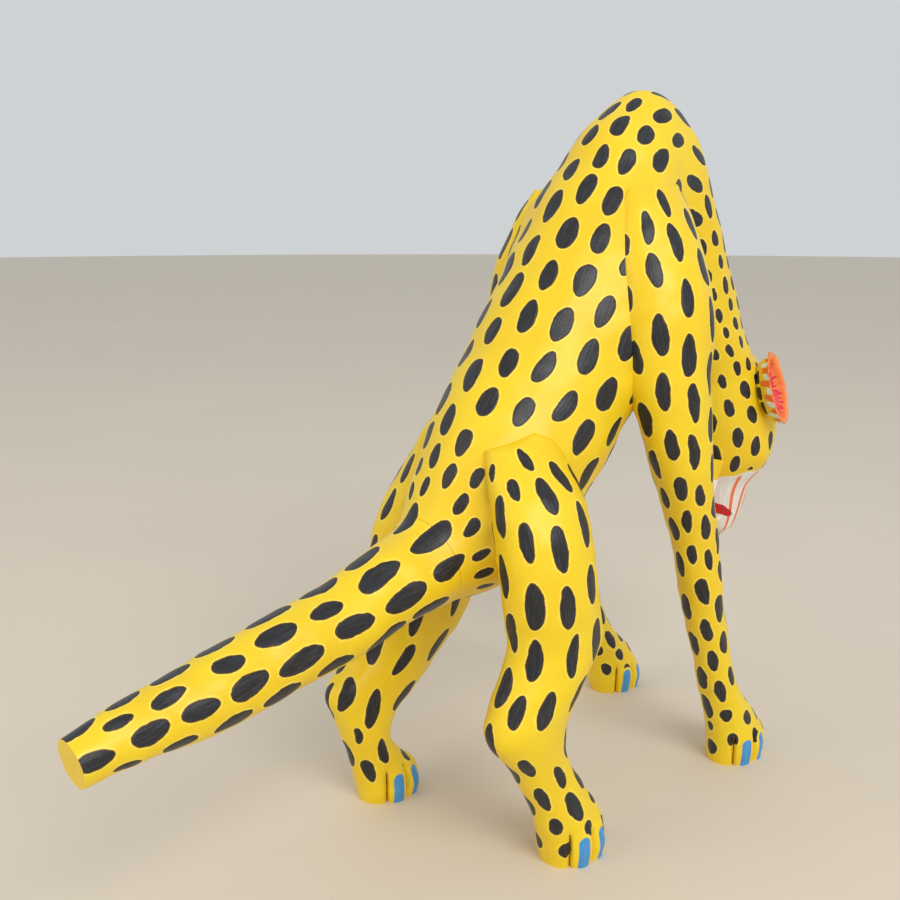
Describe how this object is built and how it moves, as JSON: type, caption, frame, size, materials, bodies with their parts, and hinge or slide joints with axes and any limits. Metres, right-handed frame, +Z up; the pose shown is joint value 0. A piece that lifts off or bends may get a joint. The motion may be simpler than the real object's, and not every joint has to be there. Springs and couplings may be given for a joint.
{
  "type": "carved wooden big cat figure",
  "caption": "Carved and painted wooden big cat standing on four paws, shoulders arched high, head hanging and long tail out behind; tail and ears plug in on pegs.",
  "frame": {"origin": "middle of the figure's box, on the ground under the paws", "axes": "+Z up; the animal faces -Y; its right side is -X"},
  "size_m": [0.2341, 0.7526, 0.6011],
  "materials": {
    "body_paint": "acrylic yellow with black spots over carved copal wood, satin",
    "head_paint": "acrylic yellow with small black spots, white muzzle with orange stripes, satin",
    "jaw_paint": "white acrylic with orange strokes, satin",
    "tongue_paint": "red acrylic, satin",
    "fang_paint": "white acrylic, satin",
    "ear_paint": "yellow back with black spots, orange and pink inside, satin",
    "leg_paint": "acrylic yellow with long black spots and sky blue claws, satin",
    "tail_paint": "acrylic yellow with long black spots, satin",
    "bare_wood": "bare whittled copal",
    "dowel_wood": "bare turned hardwood",
    "nail_steel": "plain steel nail"
  },
  "bodies": {
    "root": {"trunk": "body_paint", "head": "head_paint", "lower_jaw": "jaw_paint", "tongue": "tongue_paint", "upper_fangs": "fang_paint", "lower_fangs": "fang_paint", "front_leg_right": "leg_paint", "front_leg_left": "leg_paint", "hind_leg_right": "leg_paint", "hind_leg_left": "leg_paint", "neck_dowels": "dowel_wood", "jaw_dowel": "dowel_wood", "shoulder_dowels_right": "dowel_wood", "shoulder_dowels_left": "dowel_wood", "hip_dowels_right": "dowel_wood", "hip_dowels_left": "dowel_wood", "shoulder_nails_right": "nail_steel", "shoulder_nails_left": "nail_steel", "hip_nails_right": "nail_steel", "hip_nails_left": "nail_steel"},
    "tail_body": {"tail": "tail_paint", "tail_peg": "bare_wood"},
    "ear_right_body": {"ear_right": "ear_paint", "ear_peg_right": "bare_wood"},
    "ear_left_body": {"ear_left": "ear_paint", "ear_peg_left": "bare_wood"}
  },
  "joints": [
    {"name": "tail_slide", "type": "slide", "parent": "root", "child": "tail_body", "axis": [0, 0.9685, -0.249], "range_m": [0, 0.06]},
    {"name": "ear_right_slide", "type": "slide", "parent": "root", "child": "ear_right_body", "axis": [-0.9431, -0.2028, 0.2637], "range_m": [0, 0.045]},
    {"name": "ear_left_slide", "type": "slide", "parent": "root", "child": "ear_left_body", "axis": [0.9431, -0.2028, 0.2637], "range_m": [0, 0.045]}
  ]
}
